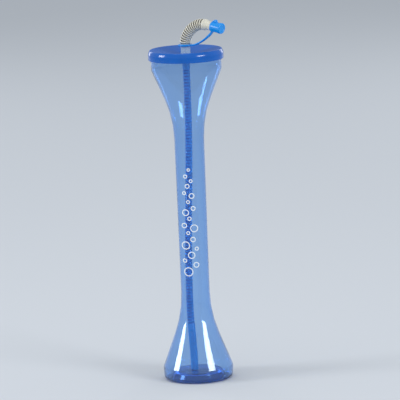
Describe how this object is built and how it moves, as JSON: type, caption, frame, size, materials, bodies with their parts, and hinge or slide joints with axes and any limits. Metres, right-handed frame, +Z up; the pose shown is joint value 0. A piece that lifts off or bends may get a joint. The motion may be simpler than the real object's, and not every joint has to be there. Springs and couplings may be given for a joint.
{
  "type": "yard cup",
  "caption": "Tall waisted yard cup in clear tinted plastic, with a push-on lid, a ribbed straw and a bendy spout closed by a cap on a strap.",
  "frame": {"origin": "centre of the cup's foot, on the table", "axes": "+Z up along the cup's axis; +X to the right and -Y to the front, as the picture shows the cup"},
  "size_m": [0.0824, 0.08, 0.3884],
  "materials": {
    "tinted_clear": "clear, glossy, tinted blue",
    "lid_blue": "opaque, satin to glossy",
    "straw_blue": "satin",
    "spout_milky": "translucent milky, satin",
    "cap_azure": "satin, slightly soft"
  },
  "bodies": {
    "cup": {"cup_shell": "tinted_clear"},
    "lid": {"lid": "lid_blue"},
    "straw": {"dip_straw": "straw_blue"},
    "spout": {"spout_stub": "spout_milky", "tether_ring": "cap_azure", "spout_bellows": "spout_milky", "tether_strap": "cap_azure"},
    "tip": {"spout_tip": "spout_milky"},
    "cap": {"straw_cap": "cap_azure"}
  },
  "joints": [
    {"name": "lid_lift", "type": "slide", "parent": "cup", "child": "lid", "axis": [0, 0, 1], "range_m": [0, 0.36]},
    {"name": "straw_slide", "type": "slide", "parent": "lid", "child": "straw", "axis": [0, 0, 1], "range_m": [0, 0.03]},
    {"name": "spout_turn", "type": "hinge", "parent": "straw", "child": "spout", "pos_m": [0, 0, 0.3535], "axis": [0, 0, 1], "continuous": true},
    {"name": "neck_flex", "type": "hinge", "parent": "spout", "child": "tip", "pos_m": [0.00876, -0.00636, 0.37552], "axis": [0.5878, 0.809, 0], "range_deg": [-25, 20], "deforming": ["spout_bellows", "tether_strap"]},
    {"name": "cap_pull", "type": "slide", "parent": "tip", "child": "cap", "axis": [0.7982, -0.5799, -0.1633], "range_m": [0, 0.0055], "deforming": ["tether_strap"]}
  ]
}
